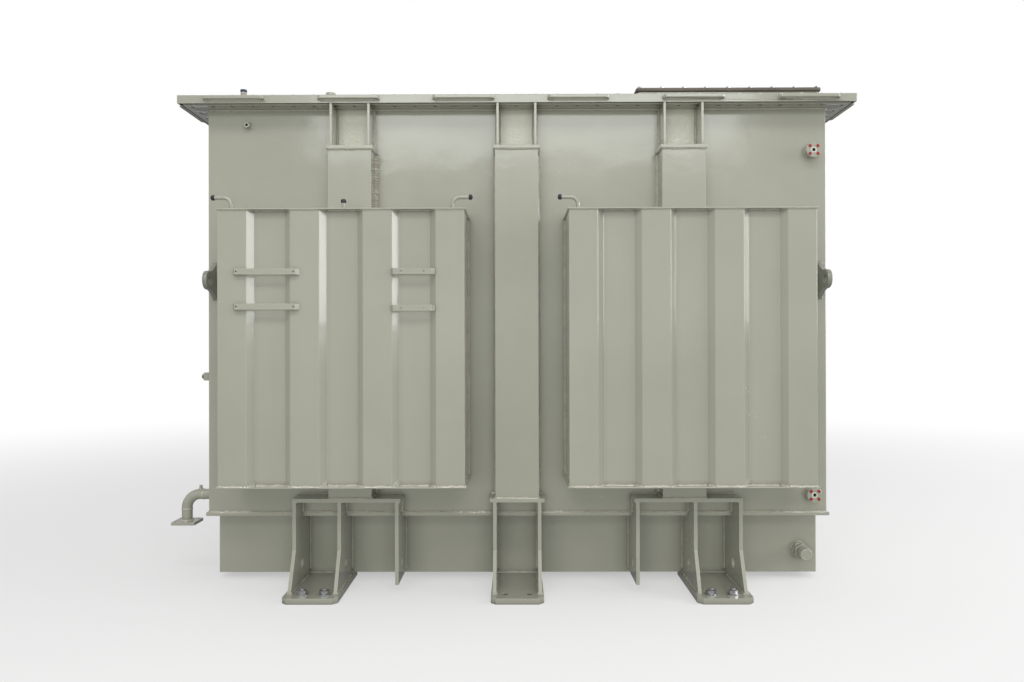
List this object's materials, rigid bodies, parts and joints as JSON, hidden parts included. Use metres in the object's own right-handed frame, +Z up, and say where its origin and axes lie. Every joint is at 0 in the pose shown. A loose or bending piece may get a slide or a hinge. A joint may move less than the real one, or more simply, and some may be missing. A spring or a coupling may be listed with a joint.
{
  "type": "oil-immersed transformer",
  "caption": "Three-phase oil-immersed transformer in a flanged steel tank with folded radiators, bolt-down feet and a lift-off cover.",
  "frame": {"origin": "middle of the bounding box's footprint, level with the soles of the feet", "axes": "+Z up; +X to the right along the tank seen from the front; -Y to the front, where the rating plate rails, the vents and the drain valve are"},
  "size_m": [3.13, 1.758, 2.3899],
  "materials": {
    "tank_paint": "semi-gloss grey-green enamel with light orange peel",
    "lug_paint": "satin, darker grey-green",
    "plug_plastic": "dull black",
    "gasket_rubber": "dull",
    "blanking_plate": "dull dark primer",
    "core_steel": "cut edges of laminations",
    "clamp_paint": "satin grey primer",
    "lv_copper": "enamelled copper strip",
    "hv_paper": "oil-soaked paper wrapping",
    "epoxy": "glossy cast resin",
    "knob_metal": "satin cast"
  },
  "bodies": {
    "tank": {"upper_tank_shell": "tank_paint", "lower_tank_shell": "tank_paint", "waist_ledge": "tank_paint", "tank_flange": "tank_paint", "front_left_stiffener": "tank_paint", "front_left_foot": "tank_paint", "front_middle_stiffener": "tank_paint", "front_middle_foot": "tank_paint", "front_right_stiffener": "tank_paint", "front_right_foot": "tank_paint", "front_left_radiator": "tank_paint", "front_left_lashing_lug": "lug_paint", "front_right_radiator": "tank_paint", "front_right_lashing_lug": "lug_paint", "rear_left_stiffener": "tank_paint", "rear_left_foot": "tank_paint", "rear_middle_stiffener": "tank_paint", "rear_middle_foot": "tank_paint", "rear_right_stiffener": "tank_paint", "rear_right_foot": "tank_paint", "rear_left_radiator": "tank_paint", "rear_left_lashing_lug": "lug_paint", "rear_right_radiator": "tank_paint", "rear_right_lashing_lug": "lug_paint", "rating_plate_upper_rail": "tank_paint", "rating_plate_lower_rail": "tank_paint", "diagram_plate_upper_rail": "tank_paint", "diagram_plate_lower_rail": "tank_paint", "left_outer_vent_pipe": "tank_paint", "left_middle_vent_pipe": "tank_paint", "left_inner_vent_pipe": "tank_paint", "right_inner_vent_pipe": "tank_paint", "upper_sample_flange": "tank_paint", "lower_sample_flange": "tank_paint", "gauge_socket": "tank_paint", "earthing_boss": "tank_paint", "drain_valve_body": "tank_paint", "drain_pipe": "tank_paint", "cover_gasket": "gasket_rubber", "core": "core_steel", "front_core_clamp": "clamp_paint", "rear_core_clamp": "clamp_paint", "left_lv_winding": "lv_copper", "left_hv_winding": "hv_paper", "middle_lv_winding": "lv_copper", "middle_hv_winding": "hv_paper", "right_lv_winding": "lv_copper", "right_hv_winding": "hv_paper"},
    "cover": {"cover_plate": "tank_paint", "hv_bushing_1": "epoxy", "hv_bushing_2": "epoxy", "hv_bushing_3": "epoxy", "lv_bushing_block": "epoxy"},
    "hatch": {"hatch_cover": "blanking_plate"},
    "tap_knob": {"tap_changer_knob": "knob_metal"},
    "drain_cap": {"drain_cap": "tank_paint"},
    "left_outer_plug": {"left_outer_vent_plug": "plug_plastic"},
    "left_middle_plug": {"left_middle_vent_plug": "plug_plastic"},
    "left_inner_plug": {"left_inner_vent_plug": "plug_plastic"},
    "right_inner_plug": {"right_inner_vent_plug": "plug_plastic"}
  },
  "joints": [
    {"name": "cover_lift", "type": "slide", "parent": "tank", "child": "cover", "axis": [0, 0, 1], "range_m": [0, 0.45]},
    {"name": "hatch_lift", "type": "slide", "parent": "cover", "child": "hatch", "axis": [0, 0, 1], "range_m": [0, 0.3]},
    {"name": "tap_knob_turn", "type": "hinge", "parent": "cover", "child": "tap_knob", "pos_m": [-1.215, 0.379, 2.214], "axis": [0, 0, 1], "range_deg": [-60, 60]},
    {"name": "drain_cap_turn", "type": "hinge", "parent": "tank", "child": "drain_cap", "pos_m": [1.353, -0.531, 0.132], "axis": [0, -1, 0], "range_deg": [0, 1800]},
    {"name": "left_outer_plug_turn", "type": "hinge", "parent": "tank", "child": "left_outer_plug", "pos_m": [-1.217, -0.836, 1.703], "axis": [-1, 0, 0], "range_deg": [0, 2160]},
    {"name": "left_middle_plug_turn", "type": "hinge", "parent": "tank", "child": "left_middle_plug", "pos_m": [-0.678, -0.836, 1.68], "axis": [0, 0, 1], "range_deg": [0, 2160]},
    {"name": "left_inner_plug_turn", "type": "hinge", "parent": "tank", "child": "left_inner_plug", "pos_m": [-0.155, -0.836, 1.703], "axis": [1, 0, 0], "range_deg": [0, 2160]},
    {"name": "right_inner_plug_turn", "type": "hinge", "parent": "tank", "child": "right_inner_plug", "pos_m": [0.233, -0.836, 1.703], "axis": [-1, 0, 0], "range_deg": [0, 2160]}
  ]
}
